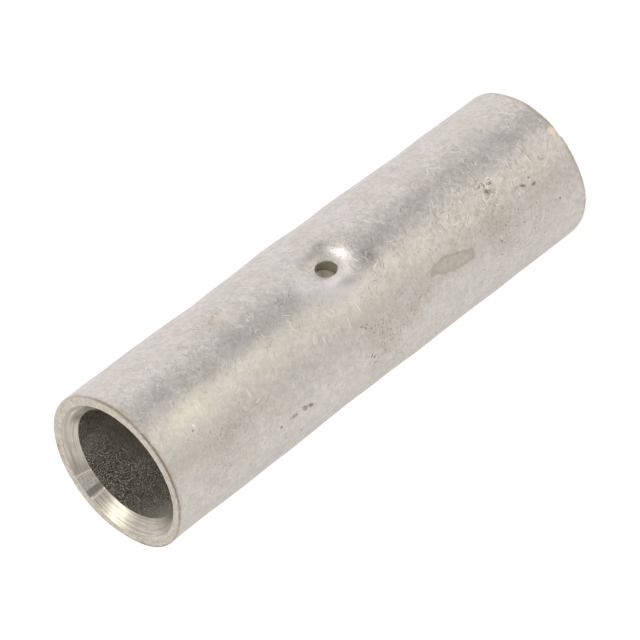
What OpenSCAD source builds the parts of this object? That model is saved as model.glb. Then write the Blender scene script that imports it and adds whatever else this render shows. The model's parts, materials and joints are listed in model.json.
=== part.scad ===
// Bare butt splice connector: a seamless, tin-plated copper tube that joins two conductors end to end.
// The tube stands on its lower end. Z runs along the bore, and the sight hole looks along -Y.

/* [Barrel] */
// Overall length of the barrel
barrel_length = 40; // [24:0.5:90]
// Diameter of the bore that takes the conductors
bore_diameter = 8.4; // [4:0.1:20]
// Thickness of the tube wall
wall_thickness = 1.6; // [1:0.05:4]

/* [Ends] */
// Width of the flat ring left on each end face, with its broken outer edge
end_land = 0.75; // [0.4:0.05:0.9]
// Included angle of the countersink that leads the strands in
countersink_angle = 88; // [60:1:120]
// Radius of the broken outer edge of each end
edge_radius = 0.15; // [0.05:0.01:0.3]

/* [Sight hole] */
// Diameter of the sight hole
sight_hole_diameter = 1.5; // [0.8:0.05:2]
// How far the sight hole sits above the middle of the barrel
sight_hole_offset = 1; // [-2:0.1:2]
// How far the drawn-in lip reaches along the barrel from the axis of the hole
lip_reach = 3.1; // [1.6:0.1:4]
// Depth of the dimple at the edge of the hole, below the outside of the barrel
lip_depth_outside = 0.35; // [0.1:0.05:0.5]
// Height of the lip at the edge of the hole, above the wall of the bore
lip_height_inside = 0.1; // [0.05:0.05:0.3]

/* [Scar in the upper mouth] */
// Width of the scar across the upper countersink
scar_width = 1.6; // [0.4:0.1:2]
// Depth of the scar below the countersunk face
scar_depth = 0.12; // [0.04:0.01:0.2]
// Direction of the scar round the bore, in degrees from the sight hole
scar_direction = 151; // [-180:1:180]

/* [Hidden] */

$fn = 96;
bore_radius = bore_diameter / 2;
barrel_radius = bore_radius + wall_thickness;
wall_middle = bore_radius + wall_thickness / 2;
countersink_width = wall_thickness - end_land;
countersink_depth = countersink_width / tan(countersink_angle / 2);
mouth_radius = bore_radius + countersink_width;
sight_hole_radius = sight_hole_diameter / 2;
sight_hole_height = barrel_length / 2 + sight_hole_offset;
lip_width = lip_reach - sight_hole_radius;
// How far a cut runs past the surface that it opens
overrun = 1;
tinned_copper = [0.79, 0.77, 0.73];

// Radius of the arc that starts level and drops by depth over a run
function level_arc_radius(run, depth) = (run * run + depth * depth) / (2 * depth);

// What comes off a square corner at the origin to leave it round
module corner_waste() {
    difference() {
        square(edge_radius);
        translate([edge_radius, edge_radius])
            circle(edge_radius);
    }
}

// Half section of what comes off one end: the countersink and the broken outer edge
module end_waste() {
    polygon([
        [bore_radius, 0],
        [mouth_radius, 0],
        [bore_radius, countersink_depth]
    ]);
    translate([barrel_radius, 0])
        mirror([1, 0])
            corner_waste();
}

// Half section of the tube wall, to be turned about the axis of the bore
module wall_section() {
    difference() {
        translate([bore_radius, 0])
            square([wall_thickness, barrel_length]);
        end_waste();
        translate([0, barrel_length])
            mirror([0, 1])
                end_waste();
    }
}

// Turned form above an arc that leaves a surface level at the reach of the lip
// and has dropped by depth at the edge of the hole. Its axis is that of the hole,
// and surface is the distance of the surface from the axis of the bore.
module drawn_in(surface, depth, rise) {
    arc_radius = level_arc_radius(lip_width, depth);
    rotate_extrude()
        difference() {
            translate([0, surface - 2 * depth])
                square([lip_reach, 2 * depth + rise]);
            translate([lip_reach, surface - arc_radius])
                circle(arc_radius, $fn = 360);
        }
}

// Places a form that is modelled along +Z on the axis of the sight hole
module on_sight_hole() {
    translate([0, 0, sight_hole_height])
        rotate([90, 0, 0])
            children();
}

// The low lip that the punched hole raises inside the bore
module inner_lip() {
    intersection() {
        on_sight_hole()
            drawn_in(bore_radius, lip_height_inside, wall_thickness);
        cylinder(r = wall_middle, h = barrel_length);
    }
}

// The sight hole and the dimple that its punch draws in around it
module sight_hole() {
    on_sight_hole() {
        cylinder(r = sight_hole_radius, h = barrel_radius + overrun);
        drawn_in(barrel_radius, lip_depth_outside, overrun);
    }
}

// Shallow flat scar across the countersunk face of the upper mouth
module mouth_scar() {
    reach = norm([countersink_width, countersink_depth]);
    rotate(scar_direction - 90)
        translate([bore_radius + countersink_width / 2, 0, barrel_length - countersink_depth / 2])
            rotate([0, 90 + countersink_angle / 2, 0])
                translate([-reach, -scar_width / 2, -reach])
                    cube([2 * reach, scar_width, reach + scar_depth]);
}

module splice_tube() {
    color(tinned_copper)
        difference() {
            union() {
                rotate_extrude()
                    wall_section();
                inner_lip();
            }
            sight_hole();
            mouth_scar();
        }
}

splice_tube();
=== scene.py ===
# %% [markdown]
# # A butt splice connector
# The real connector is a short piece of thick copper tube, tinned all over. Both ends are countersunk so
# that strands slip in, and a small hole punched near half length shows when they have reached the middle.
# The packed CAD part gives its sizes and its place. This lesson turns that plain tube into one that has
# been drawn, turned, punched, plated and knocked about in a box with others.

import json
import math

import bpy
import numpy as np
from mathutils import Matrix, Vector


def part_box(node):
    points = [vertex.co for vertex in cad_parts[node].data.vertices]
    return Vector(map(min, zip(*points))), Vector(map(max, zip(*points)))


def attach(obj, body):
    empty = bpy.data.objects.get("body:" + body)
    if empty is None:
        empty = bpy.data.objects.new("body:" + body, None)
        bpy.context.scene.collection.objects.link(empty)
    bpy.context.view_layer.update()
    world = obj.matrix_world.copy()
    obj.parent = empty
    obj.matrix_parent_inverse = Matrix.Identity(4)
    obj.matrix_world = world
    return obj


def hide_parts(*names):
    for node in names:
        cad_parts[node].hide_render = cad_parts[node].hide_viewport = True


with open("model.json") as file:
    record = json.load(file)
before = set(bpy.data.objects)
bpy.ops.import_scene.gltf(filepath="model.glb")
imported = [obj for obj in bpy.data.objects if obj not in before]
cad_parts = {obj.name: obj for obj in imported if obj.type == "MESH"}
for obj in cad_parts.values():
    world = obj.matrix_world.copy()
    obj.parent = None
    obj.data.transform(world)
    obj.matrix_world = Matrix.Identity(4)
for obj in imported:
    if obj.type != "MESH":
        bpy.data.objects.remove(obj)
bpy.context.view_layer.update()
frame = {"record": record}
MM = 0.001

# %% [markdown]
# ## Sizes
# The numbers that matter were settled in CAD, and the packed record carries them as mounts: the bore that
# takes the conductors and the barrel that the crimping die closes on. Reading them here means that the
# dressed tube still fits if the part is made in another size. Everything below is worked out in
# millimetres.

# %% Sizes of the tube
COUNTERSINK_HALF_ANGLE = math.radians(44)
HOLE_R = 0.74
HOLE_ABOVE_MIDDLE = 0.9

mounts = {mount["name"]: mount["dims"] for mount in frame["record"]["mounts"]}
tube_low, tube_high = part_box("splice_tube")
LENGTH = (tube_high.z - tube_low.z) / MM
BARREL_R = mounts["barrel_outside"]["r_mm"]
BORE_R = mounts["conductor_bore_upper"]["r_mm"]
EDGE_R = (LENGTH - mounts["barrel_outside"]["length_mm"]) / 2
COUNTERSINK_DEPTH = (LENGTH - mounts["conductor_bore_upper"]["length_mm"]) / 2
COUNTERSINK_SLOPE = math.tan(COUNTERSINK_HALF_ANGLE)
COUNTERSINK_WIDTH = COUNTERSINK_DEPTH * COUNTERSINK_SLOPE
HOLE_Z = LENGTH / 2 + HOLE_ABOVE_MIDDLE
mouth_size = 2 * (BORE_R + COUNTERSINK_WIDTH)
print(f"tube {LENGTH:.2f} long, {2 * BARREL_R:.2f} outside, {2 * BORE_R:.2f} bore, mouth {mouth_size:.2f}")

# %% [markdown]
# ## Camera
# The tube stands on its end here, but the picture shows it lying across the frame, so the camera looks
# down on it at a third of a right angle and is rolled well over on its side. A long lens keeps the two
# ends nearly the same size. The direction is built from three angles, because they can be read and changed
# one at a time.


# %% Directions
def towards(azimuth, elevation):
    """Unit vector with an azimuth counted from -Y and an elevation, both in degrees."""
    a = math.radians(azimuth)
    e = math.radians(elevation)
    return Vector((math.sin(a) * math.cos(e), -math.cos(a) * math.cos(e), math.sin(e)))


def camera_turn(azimuth, elevation, roll):
    """Axes of a camera that stands at an azimuth and an elevation and is turned by roll on its own axis.
    All three angles are in degrees."""
    back = towards(azimuth, elevation)
    level_right = towards(azimuth + 90, 0)
    level_up = back.cross(level_right)
    r = math.radians(roll)
    right = level_right * math.cos(r) - level_up * math.sin(r)
    up = level_up * math.cos(r) + level_right * math.sin(r)
    return Matrix((right, up, back)).transposed()


print("the sight hole looks towards", list(towards(0, 0)))

# %% Camera
PICTURE_SIZE = 640
SENSOR_WIDTH = 36.0
LENS_IN_PIXELS = 4133.7
CAMERA_AIM = Vector((-0.1216, 0.0607, 20.8013)) * MM
CAMERA_DISTANCE = 275.3 * MM
CAMERA_AZIMUTH = -26.55
CAMERA_ELEVATION = 31.83
CAMERA_ROLL = 127.07
CAMERA_CLIP_START = 10 * MM

camera_data = bpy.data.cameras.new("picture_camera")
camera_data.sensor_width = SENSOR_WIDTH
camera_data.lens = SENSOR_WIDTH * LENS_IN_PIXELS / PICTURE_SIZE
camera_data.clip_start = CAMERA_CLIP_START
camera = bpy.data.objects.new("picture_camera", camera_data)
turn = camera_turn(CAMERA_AZIMUTH, CAMERA_ELEVATION, CAMERA_ROLL)
camera.matrix_world = Matrix.LocRotScale(
    CAMERA_AIM + turn.col[2] * CAMERA_DISTANCE, turn.to_quaternion(), None
)
bpy.context.scene.collection.objects.link(camera)
bpy.context.scene.camera = camera
bpy.context.scene.view_settings.view_transform = "Standard"
print(f"camera: {camera_data.lens:.0f} mm lens at", [round(c / MM) for c in camera.location])

# %% [markdown]
# ## A short hand for node trees
# Materials and the world are both node trees. This small class adds a node, fills its inputs and hands
# back the output socket, so that a finish reads like a formula. A number stays in the socket, and a socket
# becomes a link.


# %% Node helper
class Nodes:
    """Adds nodes to one tree. Each call returns an output socket that the next call can take."""

    def __init__(self, tree):
        self.tree = tree
        tree.nodes.clear()

    def add(self, kind, inputs=None, output=0, **settings):
        node = self.tree.nodes.new(kind)
        for name, value in settings.items():
            setattr(node, name, value)
        for name, value in (inputs or {}).items():
            self.feed(node.inputs[name], value)
        return node.outputs[output]

    def feed(self, socket, value):
        if isinstance(value, bpy.types.NodeSocket):
            self.tree.links.new(value, socket)
        else:
            socket.default_value = value

    def math(self, operation, a, b=0.0):
        return self.add("ShaderNodeMath", {0: a, 1: b}, operation=operation)

    def times(self, first, *factors):
        for factor in factors:
            first = self.math("MULTIPLY", first, factor)
        return first

    def plus(self, first, *terms):
        for term in terms:
            first = self.math("ADD", first, term)
        return first

    def vector(self, operation, a, b=(0, 0, 0), output=0):
        return self.add("ShaderNodeVectorMath", {0: a, 1: b}, output, operation=operation)

    def fade(self, value, start, end, first=0.0, last=1.0):
        """A smooth step: first while value is before start, last once it is past end."""
        inputs = {"Value": value, "From Min": start, "From Max": end, "To Min": first, "To Max": last}
        return self.add("ShaderNodeMapRange", inputs, interpolation_type="SMOOTHSTEP")

    def blend(self, amount, a, b):
        """Colour a where amount is 0, colour b where it is 1."""
        return self.add("ShaderNodeMix", {0: amount, 6: a, 7: b}, 2, data_type="RGBA")

    def noise(self, place, scale, detail):
        return self.add("ShaderNodeTexNoise", {"Vector": place, "Scale": scale, "Detail": detail})

    def cloud(self, place, scale, detail, start, end, first=0.0, last=1.0):
        """Soft blots: a noise that goes from first to last between two of its values."""
        return self.fade(self.noise(place, scale, detail), start, end, first, last)

    def attribute(self, name):
        return self.add("ShaderNodeAttribute", {}, "Fac", attribute_name=name)

    def object_mm(self):
        """The place on the tube itself, in millimetres."""
        return self.vector("MULTIPLY", self.add("ShaderNodeTexCoord", output="Object"), (1 / MM,) * 3)

    def end(self, kind, **inputs):
        node = self.tree.nodes.new(kind)
        for name, value in inputs.items():
            self.feed(node.inputs[name], value)


# %% Finish helpers
def colour(red, green, blue):
    """A colour socket's value from three linear parts."""
    return (red, green, blue, 1.0)


def new_finish(name):
    """A new material, and the helper that fills its empty node tree."""
    material = bpy.data.materials.new(name)
    material.use_nodes = True
    return material, Nodes(material.node_tree)


def end_metal(n, tint, roughness, relief=None, depth=0.0, strength=1.0):
    """Ends a tree with a bare metal. Relief is its height map, and depth in mm is the height of 1 there."""
    inputs = {"Base Color": tint, "Metallic": 1.0, "Roughness": roughness}
    if relief is not None:
        bump = {"Height": relief, "Strength": strength, "Distance": depth * MM}
        inputs["Normal"] = n.add("ShaderNodeBump", bump)
    n.end("ShaderNodeOutputMaterial", Surface=n.add("ShaderNodeBsdfPrincipled", inputs))


print("node calls:", [name for name in vars(Nodes) if not name.startswith("_")])

# %% [markdown]
# ## Floor and light
# Small metal parts are photographed in a light tent, because bare metal shows whatever stands around it.
# Here the world is that tent: white paper below and around, a little warmer on one side and dimmer above.
# It has two dull places where sheets meet. One draws the soft dark band along the barrel, and the other
# shows on the back. Two small lamps give the glints at the hole and on the cone. The floor is pale and
# keeps the shadow of the tube, and the metal looks through it to the tent.

# %% Floor
FLOOR_HALF = 2.0
FLOOR_PAPER = colour(0.3, 0.3, 0.3)
FLOOR_GLOW = 0.86

floor_mesh = bpy.data.meshes.new("floor")
floor_corners = np.array([[-1, -1, 0], [1, -1, 0], [1, 1, 0], [-1, 1, 0]]) * FLOOR_HALF
floor_mesh.from_pydata(floor_corners.tolist(), [], [[0, 1, 2, 3]])
floor = bpy.data.objects.new("floor", floor_mesh)
bpy.context.scene.collection.objects.link(floor)
floor.visible_glossy = False

floor_material, n = new_finish("white_floor")
seen = n.add("ShaderNodeLightPath", output="Is Camera Ray")
paper = n.add("ShaderNodeBsdfDiffuse", {"Color": FLOOR_PAPER})
glow = n.add("ShaderNodeEmission", {"Color": colour(1, 1, 1), "Strength": n.times(seen, FLOOR_GLOW)})
n.end("ShaderNodeOutputMaterial", Surface=n.add("ShaderNodeAddShader", {0: paper, 1: glow}))
floor_mesh.materials.append(floor_material)
print("floor:", 2 * FLOOR_HALF, "m square")

# %% Light tent
TENT_WHITE = colour(0.80, 0.78, 0.76)
# Each patch: azimuth from -Y and elevation of its middle, half angles of its core and its rim, its colour
TENT_PATCHES = (
    (0, 90, 35, 100, colour(0.54, 0.52, 0.49)),
    (153, 32, 10, 38, colour(0.92, 0.89, 0.83)),
    (97, -31, 38, 72, colour(1.01, 0.98, 0.98)),
    (-25, -31, 5, 28, colour(1.09, 1.055, 0.955)),
    (-118, -31, 20, 44, colour(0.93, 0.905, 0.89)),
    (-71, -31, 4, 23, colour(0.76, 0.74, 0.695)),
    (164, -2, 6, 22, colour(0.22, 0.215, 0.21)),
    (14, -31, 5, 25, colour(0.45, 0.445, 0.45)),
    (3, -58, 10, 26, colour(1.02, 0.99, 0.99)),
    (21, -3, 4, 9, colour(3.40, 3.35, 3.22)),
    (41, 51, 7, 16, colour(2.40, 2.28, 2.02)),
)

world = bpy.data.worlds.new("light_tent")
bpy.context.scene.world = world
world.use_nodes = True
n = Nodes(world.node_tree)
looking = n.add("ShaderNodeTexCoord", output="Generated")
tent = TENT_WHITE
for azimuth, elevation, core, rim, tint in TENT_PATCHES:
    facing = n.vector("DOT_PRODUCT", looking, towards(azimuth, elevation), output="Value")
    inside = n.fade(facing, math.cos(math.radians(rim)), math.cos(math.radians(core)))
    tent = n.blend(inside, tent, tint)
n.end("ShaderNodeOutputWorld", Surface=n.add("ShaderNodeBackground", {"Color": tent, "Strength": 1.0}))
print("tent patches:", len(TENT_PATCHES))

# %% [markdown]
# ## The barrel as a function
# A lathe would give a perfect tube in one call, but this one isn't perfect: the punch has pressed the wall
# in around the hole and bowed the tube a little, and drawing left it faintly uneven. So each wall is a
# radius that depends on two numbers, the direction round the bore and the height. Directions are counted
# from the sight hole, anticlockwise seen from above.

# %% Dimple round the hole
DIMPLE_DEPTH = 0.5
DIMPLE_POWER = 2.6
DIMPLE_LIMIT = 1.1
# How far the dimple reaches from the axis of the hole, as seen by someone who faces it
DIMPLE_DOWN = 3.3
DIMPLE_UP = 4.4
DIMPLE_LEFT = 3.6
DIMPLE_RIGHT = 3.0


def wrapped(angle):
    """The same direction, counted from half a turn back to half a turn on."""
    return (angle + np.pi) % (2 * np.pi) - np.pi


def drawn_in(angle, height, radius, depth):
    """Depth of the funnel round the hole: a power of 1 - q, where q grows from 0 on the axis of the hole
    to 1 on an oval that reaches farthest up the tube. Below the hole, its edge has just this depth."""
    turned = wrapped(angle)
    across = radius * turned / np.where(turned < 0, DIMPLE_LEFT, DIMPLE_RIGHT)
    along = (height - HOLE_Z) / np.where(height < HOLE_Z, DIMPLE_DOWN, DIMPLE_UP)
    edge = HOLE_R / DIMPLE_DOWN
    share = np.clip((1 - np.hypot(across, along)) / (1 - edge), 0, DIMPLE_LIMIT)
    return depth * share**DIMPLE_POWER


one_below = float(drawn_in(0.0, HOLE_Z - 1, BARREL_R, DIMPLE_DEPTH))
print(f"dimple 1 mm below the axis of the hole: {one_below:.2f} deep")

# %% Squeeze of the punch
BLOW_Z = HOLE_Z - 0.5
OVAL_HEIGHT = 0.03
OVAL_REACH = 4.0
BOW_DIRECTION = math.radians(50)
BOW_HEIGHT = 0.075
BOW_REACH = 11.0
KINK_HEIGHT = 0.04
KINK_REACH = 3.4
BOW_AT_ENDS = -0.045


def bell(value, centre, width):
    """exp(-((value - centre) / width) squared): 1 at the centre, almost 0 two widths away."""
    return np.exp(-(((value - centre) / width) ** 2))


def squeezed(angle, height):
    """The wall's shift from the punch's blow: an oval section near the hole, a cosine of twice the
    direction, and a bow of the whole tube, two bells of the height times a power of a cosine."""
    oval = -OVAL_HEIGHT * np.cos(2 * angle) * bell(height, BLOW_Z, OVAL_REACH)
    bow = BOW_AT_ENDS + BOW_HEIGHT * bell(height, BLOW_Z, BOW_REACH)
    bow = bow + KINK_HEIGHT * bell(height, BLOW_Z, KINK_REACH)
    lean = np.cos(angle - BOW_DIRECTION)
    return oval + bow * lean * np.abs(lean) ** 3


print(f"wall pushed out at half length: {float(squeezed(BOW_DIRECTION, BLOW_Z)):.3f}")

# %% Unevenness left by drawing
LIP_HEIGHT = 0.06
# The barrel is drawn a little under its size, so that its ripples stay inside the CAD box
UNDERSIZE = 0.062


def rippled(angle, height, radius, slope, wavelengths, count, seed):
    """Sum of count cosines with seeded directions and lengths; each closes on itself round the tube.
    Their heights make the steepness of the sum about slope, whatever the wavelengths."""
    random = np.random.default_rng(seed)
    length = random.uniform(*wavelengths, count)
    heading = random.uniform(0, np.pi, count)
    phase = random.uniform(0, 2 * np.pi, count)
    turns = np.round(2 * np.pi * radius / length * np.cos(heading))
    climb = 2 * np.pi / length * np.sin(heading)
    total = np.zeros(np.broadcast(angle, height).shape)
    for k in range(count):
        wave = np.cos(turns[k] * angle + climb[k] * height + phase[k])
        total += slope * length[k] / (2 * np.pi) * wave
    return total * math.sqrt(2 / count)


def outside_radius(angle, height):
    """Barrel radius, moved by the squeeze of the punch, by ripples, and by the dimple round the hole."""
    ripple = rippled(angle, height, BARREL_R, slope=0.026, wavelengths=(2.0, 8.0), count=30, seed=3)
    drawn = BARREL_R - UNDERSIZE + squeezed(angle, height) + ripple
    return drawn - drawn_in(angle, height, BARREL_R, DIMPLE_DEPTH)


def inside_radius(angle, height):
    """Bore radius, moved with the wall, made pebbly by ripples and drawn in to a low lip round the hole."""
    pebbles = rippled(angle, height, BORE_R, slope=0.05, wavelengths=(0.7, 2.0), count=24, seed=8)
    return BORE_R + squeezed(angle, height) + pebbles - drawn_in(angle, height, BORE_R, LIP_HEIGHT)


quarter_turns = np.radians([90, 180, 270])
print("barrel radius at quarter turns:", outside_radius(quarter_turns, HOLE_Z).round(3).tolist())

# %% [markdown]
# ## The ends
# Each end was faced and countersunk on a lathe, so the cone carries fine turning rings. On the upper end
# something has scraped a flat scar across the cone, and the lower rim has a small nick. A cone is easy to
# turn with a modifier, but rings, scar and nick all depend on direction, so the ends are functions too: of
# the direction and of how far a point has come from the outer edge to the bore.

# %% Cone and its rings
MOUTH_SHIFT = 0.11
MOUTH_SHIFT_DIRECTION = math.radians(-117)
RING_PITCH = 0.21
RING_HEIGHT = 0.0014


def cone_width(angle):
    """Radial width of the countersink: wider on the side to which the cutter ran off centre."""
    return COUNTERSINK_WIDTH + MOUTH_SHIFT * np.cos(angle - MOUTH_SHIFT_DIRECTION)


def turning_rings(angle, share, seed):
    """Height of the cutter's spiral at a share of the cone: a sine of the slant length and a slower one,
    both wavering with direction."""
    slant = share * COUNTERSINK_WIDTH / math.sin(COUNTERSINK_HALF_ANGLE)
    phases = np.random.default_rng(seed).uniform(0, 2 * np.pi, 3)
    waver = 0.5 * np.sin(2 * angle + phases[0]) + 0.3 * np.sin(5 * angle + phases[1])
    turns = 2 * np.pi * slant / RING_PITCH + angle + waver
    return RING_HEIGHT * (np.sin(turns) + 0.8 * np.sin(0.57 * turns + phases[2]))


widths = cone_width(np.linspace(0, 2 * np.pi, 73))
print(f"cone between {widths.min():.2f} and {widths.max():.2f} wide")

# %% Scar and nick
SCAR_DIRECTION = math.radians(148.6)
# Depth of the scar at places across it: a rough floor, then a deeper smooth strip that ends in a step
SCAR_ACROSS = (-0.84, -0.76, 0.24, 0.30, 0.74, 0.84)
SCAR_DEPTH = (0.0, 0.05, 0.09, 0.12, 0.13, 0.0)
NICK_DIRECTION = math.radians(-24)
NICK_DEPTH = 0.13


def smooth(value, start, end):
    """A smooth step from 0 at start to 1 at end: 3t squared minus 2t cubed."""
    t = np.clip((value - start) / (end - start), 0, 1)
    return t * t * (3 - 2 * t)


def across_scar(angle):
    """Distance from the middle line of the scar, measured round the middle of the cone."""
    return (BORE_R + COUNTERSINK_WIDTH / 2) * wrapped(angle - SCAR_DIRECTION)


def rim_nick(angle):
    """How much lower the rim is where it was knocked: a step down, then a slope back up."""
    across = BARREL_R * wrapped(angle - NICK_DIRECTION)
    return NICK_DEPTH * smooth(across, -0.30, -0.22) * (1 - smooth(across, -0.1, 0.75))


print(f"scar {SCAR_ACROSS[-1] - SCAR_ACROSS[0]:.2f} wide, {max(SCAR_DEPTH):.2f} deep")

# %% [markdown]
# ## One closed grid
# The section of the wall is a closed loop: up the outside, over the rim, down the cone, through the bore
# and back. Carried round the bore it makes one grid, with no seam to hide. Columns lie closer where the
# scar has its steep sides. Rows lie closer on the rounded edges and on the cones.

# %% Columns and rows
WINDOW_HALF_ANGLE = 32
WINDOW_HALF_HEIGHT = 4.6
WINDOW_COLUMNS = 48
WINDOW_ROWS = 32
ROWS_BELOW = 62
ROWS_ABOVE = 56
SCAR_FROM = 135
SCAR_TO = 161
COLUMNS_TO_SCAR = 76
COLUMNS_ON_SCAR = 64
COLUMNS_PAST_SCAR = 120


def stretches(*stops):
    """Numbers from stop to stop, evenly spread in each stretch; stops are (value, steps to the next)."""
    pairs = zip(stops, stops[1:])
    return np.concatenate([np.linspace(a, b, steps, endpoint=False) for (a, steps), (b, _) in pairs])


angles = np.radians(stretches(
    (-WINDOW_HALF_ANGLE, WINDOW_COLUMNS),
    (WINDOW_HALF_ANGLE, COLUMNS_TO_SCAR),
    (SCAR_FROM, COLUMNS_ON_SCAR),
    (SCAR_TO, COLUMNS_PAST_SCAR),
    (360 - WINDOW_HALF_ANGLE, 0),
))[None, :]
window_low = HOLE_Z - WINDOW_HALF_HEIGHT
window_high = HOLE_Z + WINDOW_HALF_HEIGHT
wall_heights = stretches(
    (EDGE_R, ROWS_BELOW), (window_low, WINDOW_ROWS), (window_high, ROWS_ABOVE), (LENGTH - EDGE_R, 0)
)[:, None]
print("columns:", angles.shape[1], "rows on the outside:", wall_heights.shape[0])

# %% Rows of an end
EDGE_ROWS = 5
LAND_ROWS = 4
CONE_ROWS = 22


def end_rows(angle, seed, is_upper):
    """Rows of one end from its outer edge to its bore, as (radius, depth below the end face).
    A quarter circle, then the flat ring, then the cone, which carries the rings and the scar."""
    corner = np.linspace(0, np.pi / 2, EDGE_ROWS)[:, None]
    outer = outside_radius(angle, LENGTH - EDGE_R if is_upper else EDGE_R)
    knocked = 0 * angle if is_upper else rim_nick(angle)
    worn = rippled(angle, 0 * angle, BARREL_R, slope=0.03, wavelengths=(0.8, 3.0), count=12, seed=seed + 1)
    edge_r = outer - (EDGE_R + np.abs(worn)) * (1 - np.cos(corner))
    edge_z = EDGE_R * (1 - np.sin(corner)) + knocked

    mouth = BORE_R + cone_width(angle)
    share = np.linspace(0, 1, LAND_ROWS + 1)[1:, None]
    land_r = edge_r[-1:] + (mouth - edge_r[-1:]) * share
    land_z = 0 * land_r + knocked * (1 - share)

    share = np.linspace(0, 1, CONE_ROWS + 1)[1:, None]
    lift = turning_rings(angle, share, seed) * np.sin(np.pi * share) ** 0.3
    if is_upper:
        sunk = np.interp(across_scar(angle), SCAR_ACROSS, SCAR_DEPTH)
        runs_out = np.minimum(1, 6 * (1 - share)) * smooth(share, 0, 0.25)
        lift = np.where(sunk > 0.02, 0, lift) - sunk * runs_out
    cone_r = mouth - cone_width(angle) * share - lift * math.cos(COUNTERSINK_HALF_ANGLE)
    cone_z = cone_width(angle) / COUNTERSINK_SLOPE * share - lift * math.sin(COUNTERSINK_HALF_ANGLE)
    return np.vstack([edge_r, land_r, cone_r]), np.vstack([edge_z, land_z, cone_z])


upper_r, upper_depth = end_rows(angles, seed=21, is_upper=True)
lower_r, lower_z = end_rows(angles, seed=33, is_upper=False)
upper_z = LENGTH - upper_depth
print("rows of an end:", upper_r.shape[0])

# %% Rows of the walls
BORE_ROWS = 14
BORE_CROWDING = 1.3

outside_r = outside_radius(angles, wall_heights)
bore_share = stretches((0, BORE_ROWS), (1, 0))[1:, None]
bore_top = upper_z[-1:] + (window_high - upper_z[-1:]) * bore_share**BORE_CROWDING
bore_window = np.linspace(window_high, window_low, WINDOW_ROWS + 1)[:, None] + 0 * angles
bore_bottom = lower_z[-1:] + (window_low - lower_z[-1:]) * bore_share[::-1]
bore_z = np.vstack([bore_top, bore_window, bore_bottom])
bore_r = inside_radius(angles, bore_z)
print("rows on the outside:", outside_r.shape[0], "rows in the bore:", bore_r.shape[0])

# %% [markdown]
# ## Cutting the sight hole into the grid
# A boolean would cut the hole, but it leaves long thin faces that shade badly. Instead a window of quads is
# left out of the outside wall and the same window out of the bore. Rings of quads then lead from the square
# window to the round edge, down the wall of the hole, and out again to the window in the bore.

# %% Grid with two windows
radius = np.vstack([outside_r, upper_r, bore_r, lower_r[::-1]])
height = np.vstack([wall_heights + 0 * angles, upper_z, bore_z, lower_z[::-1]])
direction = angles + 0 * radius
ROWS, COLUMNS = radius.shape

row, column = np.meshgrid(np.arange(ROWS), np.arange(COLUMNS), indexing="ij")
next_row = (row + 1) % ROWS
next_column = (column + 1) % COLUMNS
grid_quads = np.stack([
    row * COLUMNS + column,
    row * COLUMNS + next_column,
    next_row * COLUMNS + next_column,
    next_row * COLUMNS + column,
], axis=-1)

first_outside = ROWS_BELOW
first_bore = len(outside_r) + len(upper_r) + len(bore_top)
in_columns = column < WINDOW_COLUMNS
in_outside = (row >= first_outside) & (row < first_outside + WINDOW_ROWS)
in_bore = (row >= first_bore) & (row < first_bore + WINDOW_ROWS)
kept = ~(in_columns & (in_outside | in_bore))
print("quads of the grid:", int(kept.sum()), "left open:", int((~kept).sum()))

# %% Edge of the windows and of the hole
HOLE_OVAL = 0.06
HOLE_OVAL_HEADING = math.radians(49)
BREAK_OUT = 1.08

side = np.arange(WINDOW_COLUMNS)
rise = np.arange(WINDOW_ROWS)
loop_column = np.concatenate([side, 0 * rise + WINDOW_COLUMNS, WINDOW_COLUMNS - side, 0 * rise])
loop_row = np.concatenate([0 * side, rise, 0 * side + WINDOW_ROWS, WINDOW_ROWS - rise])
outside_loop = (first_outside + loop_row) * COLUMNS + loop_column
bore_loop = (first_bore + WINDOW_ROWS - loop_row) * COLUMNS + loop_column

loop_angle = direction.ravel()[outside_loop]
loop_height = height.ravel()[outside_loop]
around = np.arctan2(loop_height - HOLE_Z, BARREL_R * loop_angle)
# The punch has left the hole slightly oval, and it breaks out wider on the inside
hole_reach = HOLE_R * (1 + HOLE_OVAL * np.cos(2 * (around - HOLE_OVAL_HEADING)))
break_out = BREAK_OUT * hole_reach
print(f"hole between {2 * hole_reach.min():.2f} and {2 * hole_reach.max():.2f} across")

# %% Rings round the sight hole
HOLE_EDGE = 0.07
WINDOW_RINGS = 24
RING_CROWDING = 2.3
HOLE_RINGS = 11
INWARDS = -1
OUTWARDS = 1


def to_xyz(angle, z, r):
    """Points from a direction counted from the sight hole, which looks along -Y, a height and a radius."""
    return np.stack([r * np.sin(angle), -r * np.cos(angle), z + 0 * r], axis=-1)


def rounded_edge(distance, reach):
    """How far a quarter-round edge has dropped at a distance from the axis of a hole with this reach."""
    inside = np.clip(reach + HOLE_EDGE - distance, 0, HOLE_EDGE)
    return HOLE_EDGE - np.sqrt(HOLE_EDGE**2 - inside**2)


def window_rings(wall_r, surface, reach, share, sense):
    """Rings from the window, share 0, to the hole, share 1, on the wall given by its radius function.
    At the hole they leave the wall in a quarter round, inwards or outwards."""
    hole_angle = np.arcsin(reach * np.cos(around) / wall_r)
    ring_angle = loop_angle + (hole_angle - loop_angle) * share
    ring_height = loop_height + (HOLE_Z + reach * np.sin(around) - loop_height) * share
    distance = np.hypot(wall_r * np.sin(ring_angle), ring_height - HOLE_Z)
    sunk = rounded_edge(np.maximum(distance, reach), reach)
    return to_xyz(ring_angle, ring_height, surface(ring_angle, ring_height) + sense * sunk)


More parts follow.
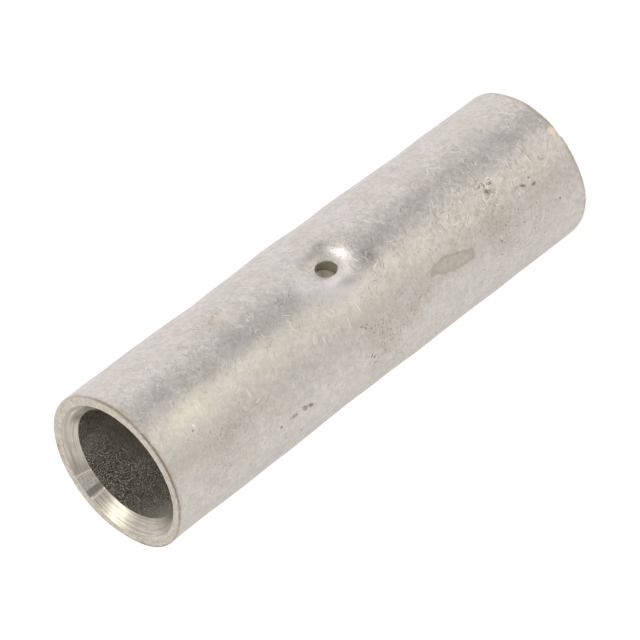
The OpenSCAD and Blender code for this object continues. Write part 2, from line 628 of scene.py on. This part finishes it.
ring_share = 1 - (1 - np.linspace(0, 1, WINDOW_RINGS + 1)[1:, None]) ** RING_CROWDING
out_points = window_rings(BARREL_R, outside_radius, hole_reach, ring_share, INWARDS)
in_points = window_rings(BORE_R, inside_radius, break_out, ring_share[::-1], OUTWARDS)
wall_share = np.linspace(0, 1, HOLE_RINGS + 1)[1:, None, None]
wall_points = out_points[-1:] + (in_points[:1] - out_points[-1:]) * wall_share
ring_points = np.concatenate([out_points, wall_points, in_points[1:]])
RINGS, SPOKES = ring_points.shape[:2]
print("rings round the hole:", RINGS, "spokes:", SPOKES)

# %% [markdown]
# ## From arrays to a mesh
# The rings join the grid by sharing its vertices along both windows, so the surface stays closed. An
# unrolled map in millimetres goes with it: scratches drawn there keep their size all round the barrel. Its
# seam lies at the back, opposite the sight hole.

# %% Faces and their finishes
OUTSIDE, TURNED, BORE, HOLE = range(4)

grid_points = to_xyz(direction, height, radius).reshape(-1, 3)
points = np.concatenate([grid_points, ring_points.reshape(-1, 3)])
ring_index = len(grid_points) + np.arange(RINGS * SPOKES).reshape(RINGS, SPOKES)
all_rings = np.vstack([outside_loop, ring_index, bore_loop])
following = np.roll(all_rings, -1, axis=1)
ring_quads = np.stack([all_rings[:-1], following[:-1], following[1:], all_rings[1:]], axis=-1)

# The outer half of the upper rounded edge still looks like the barrel
row_finish = np.repeat(
    [OUTSIDE, TURNED, BORE, TURNED], [len(outside_r) + 2, len(upper_r) - 3, len(bore_r) + 1, len(lower_r)]
)
ring_finish = np.repeat([OUTSIDE, HOLE, BORE], [len(out_points), len(wall_points), len(in_points)])
quads = np.concatenate([grid_quads[kept], ring_quads.reshape(-1, 4)])
finish = np.concatenate([
    np.broadcast_to(row_finish[:, None], row.shape)[kept],
    np.repeat(ring_finish, SPOKES),
])
print("quads:", len(quads), "by finish:", np.bincount(finish).tolist())

# %% Mesh of the tube
SHARP_ANGLE = math.radians(34)

used, quads = np.unique(quads, return_inverse=True)
quads = quads.reshape(-1, 4)
points = points[used]
point_z = points[:, 2]
point_angle = np.arctan2(points[:, 0], -points[:, 1])

tube_mesh = bpy.data.meshes.new("tinned_tube")
tube_mesh.from_pydata((points * MM).tolist(), [], quads.tolist())
tube_mesh.polygons.foreach_set("material_index", finish.astype(np.int32))
tube_mesh.polygons.foreach_set("use_smooth", np.ones(len(quads), bool))
tube_mesh.set_sharp_from_angle(angle=SHARP_ANGLE)

corner_angle = point_angle[quads]
corner_angle = corner_angle[:, :1] + wrapped(corner_angle - corner_angle[:, :1])
unrolled = np.stack([BARREL_R * corner_angle, point_z[quads]], axis=-1)
tube_mesh.uv_layers.new(name="unrolled").data.foreach_set("uv", unrolled.astype(np.float32).ravel())
tube = bpy.data.objects.new("tinned_tube", tube_mesh)
bpy.context.scene.collection.objects.link(tube)
print("vertices:", len(points), "triangles:", 2 * len(quads))

# %% [markdown]
# ## Masks for what happened to the surface
# Stains, worn places and the painted light and shade have no sharp edge, so a value on each vertex is
# enough to say where they are. They could be painted by hand, but a short list of spots is easier to
# correct. Each spot has a direction from the sight hole and a height. The materials later break these soft
# shapes up with noise.


# %% Mask helpers
def spots(*rows):
    """Sum of bell-shaped spots on the unrolled barrel. A row gives strength, direction in degrees, height,
    half sizes across and along the tube, and a lean that slants the long side."""
    total = np.zeros(len(points))
    for strength, at_direction, at_height, across, along, lean in rows:
        v = point_z - at_height
        u = BARREL_R * wrapped(point_angle - math.radians(at_direction)) - lean * v
        total += strength * np.exp(-((u / across) ** 2) - (v / along) ** 2)
    return total


def keep_mask(name, values):
    """Stores one value per vertex under a name that a material can read."""
    layer = tube_mesh.attributes.new(name, "FLOAT", "POINT")
    layer.data.foreach_set("value", np.clip(values, 0, 1).astype(np.float32))
    print("mask", name, "reaches", round(float(values.max()), 2))


print("vertices to mask:", len(points))

# %% Stains and tarnish on the barrel
keep_mask("stain", spots(
    (1.0, -51, 13.0, 0.60, 2.05, 0.2),
    (0.3, -58, 16.2, 0.70, 1.70, 0.0),
))
keep_mask("browned", spots(
    (0.8, -50, 8.4, 2.20, 1.30, 0.0),
    (1.0, -66, 20.3, 1.90, 1.60, 0.0),
    (1.0, -61, 17.0, 0.90, 1.70, -0.3),
    (0.6, -69, 35.5, 1.70, 2.60, 0.0),
    (0.8, -49, 34.0, 0.60, 1.80, 0.0),
    (0.9, 18, 30.0, 1.20, 1.00, 0.0),
    (0.8, 11, 11.2, 0.70, 0.70, 0.0),
    (0.5, -66, 5.0, 1.60, 3.00, 0.0),
    (1.0, -29, 18.5, 0.35, 0.45, 0.0),
))
keep_mask("golden", spots(
    (1.1, -22, 36.3, 0.90, 2.60, 0.0),
    (0.5, -21, 30.5, 0.80, 2.20, 0.0),
    (0.9, -25, 17.2, 0.60, 0.70, 0.0),
))
keep_mask("copper", spots((1.0, -21, 0.35, 0.60, 0.55, 0.0)))

# %% Knocks, wear and painted light on the barrel
# Round the hole: a burnished crescent that also stands in for a reflection, and a painted highlight on the
# far flank of the dimple
keep_mask("burnished", spots(
    (1.0, -17, 21.3, 0.75, 1.40, 0.0),
    (0.6, -3, 24.3, 1.10, 1.20, 0.0),
    (0.8, 1, 19.6, 0.60, 0.60, 0.0),
))
# Painted dark reflections: two dark smudges on the flanks of the dimple, where the dark band is mirrored,
# and a fainter one beside them
keep_mask("bruised", spots(
    (0.85, -13, 18.2, 0.60, 0.60, 0.0),
    (0.8, 14.5, 20.1, 0.45, 0.60, 0.0),
    (0.5, -17, 18.8, 0.40, 0.50, 0.0),
))
keep_mask("pitted", spots(
    (1.1, -25.3, 7.5, 0.60, 0.80, 0.0),
    (1.0, -52, 21.5, 0.60, 0.60, 0.0),
    (0.8, -73, 28.1, 0.30, 0.60, 0.0),
    (0.5, -73, 29.3, 0.30, 0.50, 0.0),
    (0.25, -48, 8.0, 6.00, 8.00, 0.0),
    (0.9, -73, 21.7, 0.70, 0.50, 0.0),
    (0.4, -66, 20.3, 1.90, 1.60, 0.0),
    (0.5, -61, 8.1, 1.20, 0.90, 0.0),
))

# %% Painted dark band and scuffs along the barrel
# Each darker stretch of the painted band: strength, height of its middle, half length
BAND_SHADE_STRETCHES = ((1.0, 16.3, 2.2), (1.0, 29.5, 3.0), (0.7, 37.5, 2.0), (0.8, 7.2, 0.9), (1.0, 0.0, 0.8))

degrees_round = np.degrees(point_angle)
band_shade = sum(strength * bell(point_z, middle, half) for strength, middle, half in BAND_SHADE_STRETCHES)
below_dimple = spots((0.5, -22, 22.6, 0.6, 1.6, 0.0))
# Painted dark reflection: a grey stripe 6 degrees from the sight hole's direction, where the tent's dark
# place is mirrored, darker in stretches and led on below the dimple
keep_mask("painted_dark_band", bell(degrees_round, -6, 10) * (0.15 + 0.85 * band_shade) + below_dimple)

scuffed_places = spots(
    (1.0, -28, 8.0, 1.8, 6.0, 0.0),
    (0.6, -22, 18.0, 1.4, 2.5, 0.0),
    (1.0, 3, 19.0, 1.2, 1.5, 0.0),
)
scuffed_back = 0.5 * bell(np.cos(point_angle), -1, 0.5)
# Scuffs are densest along the painted dark band, so the extra hairlines and darker grain there also paint
# part of that band's shade
scuffed = bell(degrees_round, -2, 16) + scuffed_places + scuffed_back
smooth_dimple = np.minimum(spots((1.0, -15, 21.6, 1.3, 1.6, 0.0)), 0.9)
keep_mask("scuffed", np.minimum(0.37 + 0.6 * scuffed, 1) * (1 - smooth_dimple))
keep_mask("above_band", smooth(degrees_round, -21, 23))

# %% Brown line on the rims
point_r = np.hypot(points[:, 0], points[:, 1])
unbent_r = point_r - squeezed(point_angle, point_z)
below_end = np.minimum(point_z, LENGTH - point_z)
corner_in = 0.35 * EDGE_R
corner_gap = np.hypot(unbent_r - BARREL_R + corner_in, below_end - corner_in)
low_line = bell(point_z, 0.10, 0.06) * (unbent_r > BARREL_R - 0.12)
near_side = 0.3 + 0.7 * smooth(np.cos(point_angle + 0.35), 0.0, 0.5)
smudged = bell(degrees_round, 112, 4) + bell(degrees_round, -148, 4) + 0.7 * bell(degrees_round, 122, 2)
smudge = 0.7 * smudged * bell(unbent_r, BARREL_R - 0.25, 0.25) * (below_end < 0.2)
# A brown line round the outer edge of each end, strongest on the side towards the camera, with a few
# smudges on the flat ring
keep_mask("brown_rim_line", np.maximum(bell(corner_gap, 0, 0.08), 0.8 * low_line) * near_side + smudge)

# %% Masks on the cones and in the bore
cone_share = (BORE_R + cone_width(point_angle) - point_r) / cone_width(point_angle)
on_cone = (point_z > LENGTH - 1.3 * COUNTERSINK_DEPTH) & (cone_share > 0.001) & (cone_share < 1.1)
across = across_scar(point_angle)
keep_mask("land", (cone_share < 0.01) & (below_end < 0.2))

beside_scar = 0.6 * smooth(across, -2.6, -0.9) * (1 - smooth(across, -0.86, -0.78))
by_scar = beside_scar + 0.35 * bell(across, 1.3, 0.6)
right_side = bell(degrees_round, -105, 50) * (0.5 + 0.5 * cone_share)
dark_streak = bell(degrees_round, 74, 11) * smooth(cone_share, 0.3, 0.7)
keep_mask("cone_shade", on_cone * np.maximum(by_scar, np.maximum(right_side, dark_streak)))

# Painted highlights: bright lines along both edges of the scar and on its burr, where the steps face the
# light
burr = bell(cone_share, 1.0, 0.07) * smooth(across, -0.9, -0.8) * (1 - smooth(across, -0.35, -0.2))
scar_edge_highlight = bell(across, 0.82, 0.09) + 0.8 * bell(across, -0.83, 0.05) + 0.7 * burr
keep_mask("scar_floor", on_cone * smooth(across, -0.80, -0.70) * (1 - smooth(across, 0.22, 0.30)))
# Painted dark reflection on the scar's smooth strip, over the tilt that the mesh gives it
keep_mask("scar_strip_shade", on_cone * smooth(across, 0.22, 0.30) * (1 - smooth(across, 0.70, 0.77)))
keep_mask("scar_edge_highlight", on_cone * scar_edge_highlight)

# Painted light: the bore is paler on the side where light from the mouth falls
keep_mask("pale_side", bell(wrapped(point_angle - math.radians(-135)), 0, math.radians(40)))
pebbly_reach = 2.2 + 2.0 * bell(wrapped(point_angle - math.radians(-175)), 0, math.radians(48))
keep_mask("pebbly", 1 - smooth(below_end, pebbly_reach, pebbly_reach + 1.6))

# %% [markdown]
# ## Hairlines
# Tin plating is a soft, pale, slightly warm metal. Tumbling covers it with short hairlines. They could be
# drawn by a stretched noise, but that gives endless streaks. Here the unrolled barrel is divided into
# random cells that are long one way and narrow across it, and each cell holds one line with its own slant
# and tone. Six such layers cross each other.

# %% Hairlines
HAIRLINE_SPREAD = math.radians(110)


def hairlines(n, unrolled_mm, seed, heading, cell, line):
    """One short line in each cell of a random tiling, about a heading in degrees on the unrolled map.
    cell is the usual length and width of a cell, line the half length and half width of a line, in mm.
    Returns how much a point lies on a line, and a random number that is the same along the line."""
    spot = n.add("ShaderNodeMapping", {
        "Vector": unrolled_mm,
        "Location": (13.7 * seed, 9.1 * seed, 0),
        "Rotation": (0, 0, math.radians(heading)),
        "Scale": (*cell, 1),
    }, vector_type="TEXTURE")
    tiling = n.tree.nodes.new("ShaderNodeTexVoronoi")
    tiling.voronoi_dimensions = "2D"
    tiling.inputs["Scale"].default_value = 1.0
    n.feed(tiling.inputs["Vector"], spot)
    random = n.tree.nodes.new("ShaderNodeSeparateColor")
    n.feed(random.inputs[0], tiling.outputs["Color"])
    from_centre = n.vector("SUBTRACT", spot, tiling.outputs["Position"])
    from_centre = n.vector("MULTIPLY", from_centre, (*cell, 0))
    slant = n.times(n.math("SUBTRACT", random.outputs[0], 0.5), HAIRLINE_SPREAD)
    slanted = {"Vector": from_centre, "Angle": slant}
    turned = n.add("ShaderNodeVectorRotate", slanted, rotation_type="Z_AXIS")
    axes = n.tree.nodes.new("ShaderNodeSeparateXYZ")
    n.feed(axes.inputs[0], turned)
    along = n.fade(n.math("ABSOLUTE", axes.outputs[0]), 0.5 * line[0], line[0], 1.0, 0.0)
    across = n.fade(n.math("ABSOLUTE", axes.outputs[1]), 0.1 * line[1], line[1], 1.0, 0.0)
    return n.times(along, across), random.outputs[1]


print(f"slants of the hairlines spread over {math.degrees(HAIRLINE_SPREAD):.0f} degrees")

# %% [markdown]
# ## Single marks
# A handful of scratches and pits are large enough to be known by their place. Each is an ellipse on the
# unrolled map: a Mapping node of the texture kind moves, turns and stretches it to a unit circle, and the
# length of the result tells how far inside a point lies.

# %% Single scratches and pits
# Each mark: direction, height, heading on the unrolled map in degrees, half length, half width
SCRATCHES = (
    (-40.3, 24.91, 176, 0.42, 0.055), (-38.7, 31.91, 0, 0.42, 0.055), (-45.7, 31.57, 102, 0.36, 0.055),
    (-36.6, 21.38, 4, 0.56, 0.055), (-40.4, 22.59, 167, 0.64, 0.050), (1.3, 28.35, 1, 0.22, 0.065),
    (-12.2, 26.10, 54, 0.40, 0.050), (-10.1, 19.17, 12, 0.28, 0.065), (7.9, 16.22, 17, 0.48, 0.055),
    (1.8, 15.56, 89, 0.36, 0.050), (-16.9, 3.53, 3, 0.36, 0.055), (-25.4, 3.43, 9, 0.62, 0.050),
    (-21.7, 6.91, 100, 0.36, 0.050), (-19.2, 7.05, 75, 0.30, 0.050), (9.4, 33.81, 20, 0.13, 0.080),
    (-33.0, 36.62, 3, 0.20, 0.110),
)
PITS = (
    (-73.4, 27.70, 73, 0.34, 0.20), (-72.2, 28.25, 60, 0.34, 0.26), (-72.4, 29.20, 81, 0.34, 0.19),
    (-72.3, 29.62, 81, 0.15, 0.12), (-72.9, 30.50, 55, 0.19, 0.16), (-27.0, 7.70, 60, 0.42, 0.30),
    (-23.0, 7.20, 80, 0.30, 0.17), (-21.2, 8.05, 100, 0.16, 0.10), (-30.3, 7.30, 20, 0.17, 0.12),
    (-38.0, 5.05, 60, 0.42, 0.14), (-41.4, 4.17, 100, 0.30, 0.14), (-35.8, 4.30, 70, 0.16, 0.08),
    (-62.3, 2.51, 0, 0.16, 0.14), (-63.9, 8.24, 0, 0.10, 0.08), (11.4, 4.23, 0, 0.09, 0.08),
    (-6.1, 8.34, 0, 0.09, 0.08), (-81.2, 10.85, 0, 0.11, 0.09), (10.8, 14.91, 0, 0.09, 0.07),
    (-28.7, 19.13, 0, 0.08, 0.07), (-90.8, 18.73, 0, 0.12, 0.10), (-51.0, 21.63, 30, 0.17, 0.09),
    (-57.5, 21.13, 34, 0.15, 0.11), (-89.6, 28.63, 24, 0.26, 0.09), (-35.6, 36.85, 58, 0.15, 0.09),
    (-100.5, 15.11, 0, 0.13, 0.11), (-73.5, 21.60, 90, 0.20, 0.10), (-70.5, 22.10, 90, 0.16, 0.08),
    (-48.5, 21.90, 60, 0.15, 0.09), (-53.5, 21.20, 60, 0.13, 0.09),
)


def single_marks(n, unrolled_mm, marks):
    """How much a point lies on any of the marks: the greatest of their values, each 1 in its middle and
    0 at its edge."""
    most = 0.0
    for at_direction, at_height, heading, half_length, half_width in marks:
        unit = n.add("ShaderNodeMapping", {
            "Vector": unrolled_mm,
            "Location": (BARREL_R * math.radians(at_direction), at_height, 0),
            "Rotation": (0, 0, math.radians(heading)),
            "Scale": (half_length, half_width, 1),
        }, vector_type="TEXTURE")
        on_mark = n.fade(n.vector("LENGTH", unit, output="Value"), 0.35, 1.0, 1.0, 0.0)
        most = n.math("MAXIMUM", most, on_mark)
    return most


print("single scratches:", len(SCRATCHES), "single pits:", len(PITS))

# %% [markdown]
# ## Tinned outside
# The tin is built up as it aged, with painted light among the layers: cloudy plating first, then tarnish,
# wear and the painted dark band, dark smudges and highlight round the hole, then hairlines and scratches
# with painted glints and groove shade, and at last the stain, pits and the bare copper. Each layer is one
# Mix node over the layers below it. An image of a real surface would be quicker, but it couldn't be changed
# mark by mark.

# %% Hairlines on the tin
HAIRLINE_WIDTH = 0.047
# Heading of each layer, length and width of its cells in mm
# The two sets are turned differently on the two sides of the band, as scratches catching the light round a
# highlight would be
LAYERS_BELOW_BAND = ((141, 1.1, 0.52), (110, 0.8, 0.42), (170, 0.6, 0.36))
LAYERS_ABOVE_BAND = ((23, 1.1, 0.52), (55, 0.8, 0.42), (-10, 0.6, 0.36))
# How much a layer shows on the other side of the band
SHOWN_BEYOND = 0.4

tin, n = new_finish("scratched_tin")
unrolled_mm = n.add("ShaderNodeUVMap", uv_map="unrolled")
object_mm = n.object_mm()
above_band = n.attribute("above_band")
clustered = n.cloud(object_mm, 1.0, 3.0, 0.38, 0.62, 0.60, 1.65)
scuffed = n.attribute("scuffed")
worn = n.times(clustered, scuffed)

# The hairlines are real scratches, but their light tone is a painted glint and their dark tone painted
# shade in the groove
bright = 0.0
dark = 0.0
all_layers = LAYERS_BELOW_BAND + LAYERS_ABOVE_BAND
for seed, layer in enumerate(all_layers):
    heading, *cell = layer
    on_line, tone = hairlines(n, unrolled_mm, seed, heading, cell, (0.42 * cell[0], HAIRLINE_WIDTH))
    side_shown = (1.0, SHOWN_BEYOND) if layer in LAYERS_BELOW_BAND else (SHOWN_BEYOND, 1.0)
    on_line = n.times(on_line, n.fade(above_band, 0.0, 1.0, *side_shown))
    bright = n.plus(bright, n.times(on_line, n.fade(tone, 0.5, 0.95)))
    dark = n.plus(dark, n.times(on_line, n.fade(tone, 0.45, 0.05)))
bright = n.times(bright, worn)
dark = n.times(dark, worn)
scratch = single_marks(n, unrolled_mm, SCRATCHES)
print("layers of hairlines:", len(all_layers))

# %% Plating, tarnish, wear and painted light
TIN = colour(0.73, 0.694, 0.674)
TIN_WARM = colour(0.715, 0.688, 0.632)
TIN_DULL = colour(0.60, 0.58, 0.545)
TIN_GREY = colour(0.50, 0.495, 0.485)
BROWNED = colour(0.61, 0.55, 0.495)
GOLDEN = colour(0.86, 0.82, 0.71)
BURNISH_AND_HIGHLIGHT = colour(0.94, 0.90, 0.885)
DARK_REFLECTION = colour(0.27, 0.265, 0.255)
SCRATCH_GLINT = colour(0.97, 0.95, 0.89)
GROOVE_SHADE = colour(0.40, 0.385, 0.35)

tint = n.blend(n.cloud(object_mm, 0.45, 3.0, 0.42, 0.62), TIN, TIN_WARM)
tint = n.blend(n.cloud(object_mm, 1.1, 4.0, 0.50, 0.72, 0.0, 0.6), tint, TIN_DULL)
# Darker grain where the scuffs and the band's painted shade are strongest
grain = n.times(n.cloud(object_mm, 2.6, 5.0, 0.40, 0.62), n.fade(scuffed, 0.3, 1.0, 0.6, 0.9))
tint = n.blend(grain, tint, TIN_DULL)
browned = n.attribute("browned")
uneven = n.cloud(object_mm, 1.6, 4.0, 0.35, 0.62, 0.35, 1.0)
tint = n.blend(n.times(browned, uneven, 0.9), tint, BROWNED)
tint = n.blend(n.times(n.attribute("golden"), uneven, 0.85), tint, GOLDEN)
# Painted dark reflection: the band along the barrel is greyed in the colour
tint = n.blend(n.times(n.attribute("painted_dark_band"), uneven, 0.5), tint, TIN_GREY)
# Burnish and painted highlight round the hole, lighter and smoother
tint = n.blend(n.times(n.attribute("burnished"), 0.9), tint, BURNISH_AND_HIGHLIGHT)
streaky = n.cloud(object_mm, 4.0, 3.0, 0.35, 0.60, 0.4, 1.0)
# Painted dark reflection on the flanks of the dimple, streaked
tint = n.blend(n.times(n.attribute("bruised"), streaky, 0.9), tint, DARK_REFLECTION)
# Painted glints on the hairlines, then painted shade in their grooves
tint = n.blend(n.times(bright, 0.6), tint, SCRATCH_GLINT)
tint = n.blend(n.times(dark, 0.62), tint, GROOVE_SHADE)
# Single scratches, painted light like glints
tint = n.blend(n.times(scratch, 0.9), tint, SCRATCH_GLINT)
print("tin so far:", len(tin.node_tree.nodes), "nodes")

# %% Stain, pits and bare copper
STAIN = colour(0.47, 0.43, 0.355)
PIT = colour(0.17, 0.155, 0.13)
FRECKLE = colour(0.38, 0.31, 0.245)
COPPER = colour(0.88, 0.76, 0.66)
RIM_BROWN = colour(0.36, 0.26, 0.17)
SPECK_CELL = (0.9, 0.9)
SPECK_SIZE = (0.1, 0.075)
SPECK_SEED = 7


def broken_rim_line(n, object_mm):
    """The brown line on the rims, broken into short stretches."""
    brown_rim_line = n.attribute("brown_rim_line")
    return n.times(brown_rim_line, n.cloud(object_mm, 2.2, 3.0, 0.34, 0.54, 0.35, 1.0))


spread_stain = n.plus(n.attribute("stain"), n.times(n.noise(object_mm, 1.4, 4.0), 0.5))
# The stain dried from its edge inwards, so it is darkest there
stained = n.fade(spread_stain, 0.55, 0.70, 0.0, 0.62)
stained = n.math("SUBTRACT", stained, n.fade(spread_stain, 0.72, 0.95, 0.0, 0.24))
tint = n.blend(stained, tint, STAIN)
speck, tone = hairlines(n, unrolled_mm, SPECK_SEED, 0, SPECK_CELL, SPECK_SIZE)
speck_tone = n.plus(tone, n.times(n.attribute("pitted"), 0.3))
specks = n.times(speck, n.fade(speck_tone, 0.88, 0.98))
grainy = n.plus(n.noise(object_mm, 4.5, 2.0), n.times(n.attribute("pitted"), 0.16))
pits = n.math("MAXIMUM", n.times(specks, 0.6), n.fade(grainy, 0.72, 0.80))
crumbly = n.cloud(object_mm, 6.0, 2.0, 0.34, 0.56, 0.35, 1.0)
pits = n.math("MAXIMUM", pits, n.times(single_marks(n, unrolled_mm, PITS), crumbly))
tint = n.blend(n.times(pits, 0.8), tint, PIT)
freckles = n.plus(n.noise(object_mm, 6.0, 2.0), n.times(browned, 0.12))
tint = n.blend(n.fade(freckles, 0.62, 0.76, 0.0, 0.5), tint, FRECKLE)
bare = n.plus(n.attribute("copper"), n.times(n.noise(object_mm, 3.0, 3.0), 0.9))
tint = n.blend(n.fade(bare, 0.95, 1.25), tint, COPPER)
tint = n.blend(broken_rim_line(n, object_mm), tint, RIM_BROWN)
print("tin with its marks:", len(tin.node_tree.nodes), "nodes")

# %% Sheen and relief of the tin
TIN_RELIEF = 0.0035

roughness = n.cloud(object_mm, 0.8, 4.0, 0.3, 0.7, 0.34, 0.46)
roughness = n.math("SUBTRACT", roughness, n.times(n.attribute("burnished"), 0.12))
cut = n.plus(dark, n.times(bright, 0.4))
relief = n.math("SUBTRACT", n.times(n.noise(object_mm, 3.0, 4.0), 0.6), cut)
end_metal(n, tint, roughness, relief, TIN_RELIEF)
print("tin:", len(tin.node_tree.nodes), "nodes")

# %% [markdown]
# ## Turned ends
# A cutting tool leaves rings of slightly different height and tone. The coarse ones are in the mesh. The
# finest are thinner than a hair, so they are a noise that changes quickly with the distance from the axis
# of the cutter and slowly with the direction. The scar's rough floor comes from a mask, and so do its dark
# strip, a painted dark reflection, and its bright edges, which are painted highlights.

# %% Rings of the turned ends
# How much faster the noise changes outwards than round the cutter
RING_STRETCH = 11.0
RING_DARK = colour(0.66, 0.615, 0.54)
RING_LIGHT = colour(0.96, 0.93, 0.87)
RING_DULL = colour(0.62, 0.59, 0.50)
CONE_SHADE = colour(0.31, 0.28, 0.24)

turned_tin, n = new_finish("turned_tin")
object_mm = n.object_mm()
cutter_axis = to_xyz(np.array(MOUTH_SHIFT_DIRECTION), 0.0, np.array(MOUTH_SHIFT))
flat = n.vector("MULTIPLY", n.vector("SUBTRACT", object_mm, cutter_axis.tolist()), (1, 1, 0))
from_axis = n.vector("LENGTH", flat, output="Value")
lifted = n.add("ShaderNodeCombineXYZ", {"Z": n.times(from_axis, RING_STRETCH)})
ring_place = n.vector("ADD", n.vector("NORMALIZE", flat), lifted)
ring_noise = n.noise(ring_place, 1.3, 3.0)

tint = n.blend(n.fade(ring_noise, 0.38, 0.60), RING_DARK, RING_LIGHT)
tint = n.blend(n.cloud(object_mm, 1.2, 3.0, 0.45, 0.70, 0.0, 0.4), tint, RING_DULL)
tint = n.blend(n.times(n.attribute("cone_shade"), 0.8), tint, CONE_SHADE)
print("rings of the turned ends:", len(turned_tin.node_tree.nodes), "nodes")

# %% Land and scar of the turned ends
LAND_DARK = colour(0.52, 0.485, 0.43)
LAND_LIGHT = colour(0.71, 0.675, 0.62)
SCAR_FLOOR_DARK = colour(0.55, 0.525, 0.49)
SCAR_FLOOR_LIGHT = colour(0.76, 0.735, 0.70)
SCAR_STRIP_SHADE = colour(0.30, 0.29, 0.265)
SCAR_EDGE_HIGHLIGHT = colour(0.97, 0.94, 0.86)
TURNED_RELIEF = 0.006

sandy = n.blend(n.cloud(object_mm, 3.5, 4.0, 0.36, 0.64), LAND_DARK, LAND_LIGHT)
tint = n.blend(n.times(n.attribute("land"), 0.8), tint, sandy)
rough_floor = n.attribute("scar_floor")
grain = n.cloud(object_mm, 8.0, 3.0, 0.35, 0.65)
tint = n.blend(rough_floor, tint, n.blend(grain, SCAR_FLOOR_DARK, SCAR_FLOOR_LIGHT))
# Painted dark reflection on the scar's smooth strip
tint = n.blend(n.times(n.attribute("scar_strip_shade"), 0.9), tint, SCAR_STRIP_SHADE)
# Painted highlights on the scar's edges
tint = n.blend(n.attribute("scar_edge_highlight"), tint, SCAR_EDGE_HIGHLIGHT)
tint = n.blend(broken_rim_line(n, object_mm), tint, RIM_BROWN)
relief = n.plus(ring_noise, n.times(grain, rough_floor, 1.5))
roughness = n.cloud(object_mm, 2.0, 2.0, 0.3, 0.7, 0.28, 0.38)
end_metal(n, tint, roughness, relief, TURNED_RELIEF)
print("turned ends:", len(turned_tin.node_tree.nodes), "nodes")

# %% [markdown]
# ## Bore and hole
# The plating inside is thin and dull, over a wall that drawing left pebbly. Near the mouths the pebbles
# catch the light as small glints. Light that gets in is mirrored many times, so a tone that looks pale on a
# flat sample turns nearly black in a tube. The tints are therefore lighter than what the eye sees. The
# punched hole is olive with old oil.

# %% Bore
BORE_DARK = colour(0.64, 0.625, 0.59)
BORE_LIGHT = colour(0.93, 0.915, 0.88)
BORE_PALE = colour(0.96, 0.94, 0.89)
BORE_DEEP = colour(0.93, 0.90, 0.84)
PEBBLE_RELIEF = 0.017
# The deep part of the bore: whole up to this distance from half length, gone at the second one
DEEP_REACH = (11.0, 15.0)

dull_bore, n = new_finish("dull_bore")
object_mm = n.object_mm()
axes = n.tree.nodes.new("ShaderNodeSeparateXYZ")
n.feed(axes.inputs[0], object_mm)
from_middle = n.math("ABSOLUTE", n.math("SUBTRACT", axes.outputs["Z"], LENGTH / 2))
deep = n.fade(from_middle, *DEEP_REACH, 1.0, 0.0)
pale = n.attribute("pale_side")
pebbly = n.attribute("pebbly")
tint = n.blend(n.cloud(object_mm, 7.0, 3.0, 0.45, 0.70), BORE_DARK, BORE_LIGHT)
# Painted light on the side of the bore that the mouth lights
tint = n.blend(pale, tint, BORE_PALE)
tint = n.blend(deep, tint, BORE_DEEP)
roughness = n.plus(n.fade(deep, 0.0, 1.0, 0.34, 0.25), n.times(pale, 0.3))
roughness = n.math("SUBTRACT", roughness, n.times(pebbly, 0.1))
pebbles = n.cloud(object_mm, 10.0, 1.0, 0.50, 0.72)
end_metal(n, tint, roughness, pebbles, PEBBLE_RELIEF, n.fade(pebbly, 0.0, 1.0, 0.2, 1.0))
print("bore:", len(dull_bore.node_tree.nodes), "nodes")

# %% Wall of the sight hole
OLIVE_DARK = colour(0.76, 0.73, 0.58)
OLIVE_LIGHT = colour(0.86, 0.83, 0.69)
HOLE_ROUGHNESS = 0.7

hole_wall, n = new_finish("hole_wall")
tint = n.blend(n.noise(n.object_mm(), 3.0, 3.0), OLIVE_DARK, OLIVE_LIGHT)
end_metal(n, tint, HOLE_ROUGHNESS)

# The order follows OUTSIDE, TURNED, BORE and HOLE
for material in (tin, turned_tin, dull_bore, hole_wall):
    tube_mesh.materials.append(material)
print("finishes:", [material.name for material in tube_mesh.materials])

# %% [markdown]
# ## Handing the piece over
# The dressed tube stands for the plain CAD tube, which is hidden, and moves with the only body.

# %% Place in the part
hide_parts("splice_tube")
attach(tube, "root")
